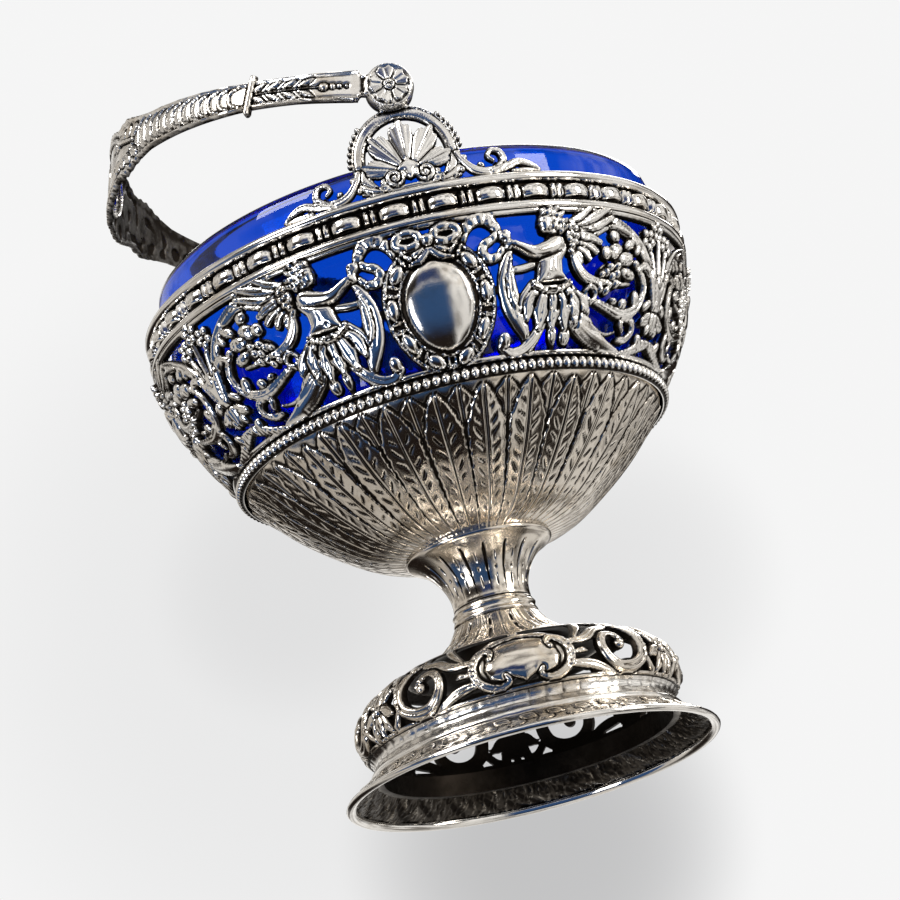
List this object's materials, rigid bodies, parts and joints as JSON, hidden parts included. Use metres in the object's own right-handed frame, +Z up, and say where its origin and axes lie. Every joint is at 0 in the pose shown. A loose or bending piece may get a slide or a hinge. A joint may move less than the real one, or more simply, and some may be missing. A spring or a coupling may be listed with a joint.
{
  "type": "sugar basket",
  "caption": "Silver sugar basket on a pierced foot, with a pierced figural gallery, a bead and reel rim, a folding bail handle and a lift-out cobalt glass liner.",
  "frame": {"origin": "centre of the foot, on the surface it stands on", "axes": "+Z up along the stem; -Y towards the front handle bracket; the handle's hinge axis is parallel to Y and the folded handle lies over the -X side"},
  "size_m": [0.1228, 0.1286, 0.1592],
  "materials": {
    "foot_lip_wire": "polished silver",
    "foot_skirt": "chased and polished silver",
    "foot_band": "polished silver",
    "foot_gallery": "pierced and chased silver, dark in the hollows",
    "foot_shoulder": "chased and polished silver",
    "stem_collar": "polished silver",
    "stem_trumpet": "chased and polished silver",
    "bowl_shell": "chased leaves, dark in the hollows",
    "bead_wire": "polished beads",
    "gallery": "pierced and chased silver, dark in the hollows",
    "rim_moulding": "polished bead and reel",
    "cobalt_glass": "clear blue glass",
    "bracket_front": "cast and chased silver",
    "hinge_rivet_front": "polished silver",
    "hinge_washer_front": "polished silver",
    "bracket_back": "cast and chased silver",
    "hinge_rivet_back": "polished silver",
    "hinge_washer_back": "polished silver",
    "handle_strap": "chased outside, pitted and dark inside",
    "handle_plaque": "polished silver",
    "rosette_front": "cast and chased silver",
    "rosette_back": "cast and chased silver"
  },
  "bodies": {
    "basket": {"foot_lip_wire": "foot_lip_wire", "foot_skirt": "foot_skirt", "foot_band": "foot_band", "foot_gallery": "foot_gallery", "foot_shoulder": "foot_shoulder", "stem_collar": "stem_collar", "stem_trumpet": "stem_trumpet", "bowl_shell": "bowl_shell", "bead_wire": "bead_wire", "gallery": "gallery", "rim_moulding": "rim_moulding", "bracket_front": "bracket_front", "hinge_rivet_front": "hinge_rivet_front", "hinge_washer_front": "hinge_washer_front", "bracket_back": "bracket_back", "hinge_rivet_back": "hinge_rivet_back", "hinge_washer_back": "hinge_washer_back"},
    "handle": {"handle_strap": "handle_strap", "handle_plaque": "handle_plaque", "rosette_front": "rosette_front", "rosette_back": "rosette_back"},
    "liner": {"glass_liner": "cobalt_glass"}
  },
  "joints": [
    {"name": "handle_hinge", "type": "hinge", "parent": "basket", "child": "handle", "pos_m": [0, 0, 0.135], "axis": [0, 1, 0], "range_deg": [-26, 176]},
    {"name": "liner_lift", "type": "slide", "parent": "basket", "child": "liner", "axis": [0, 0, 1], "range_m": [0, 0.1]}
  ]
}
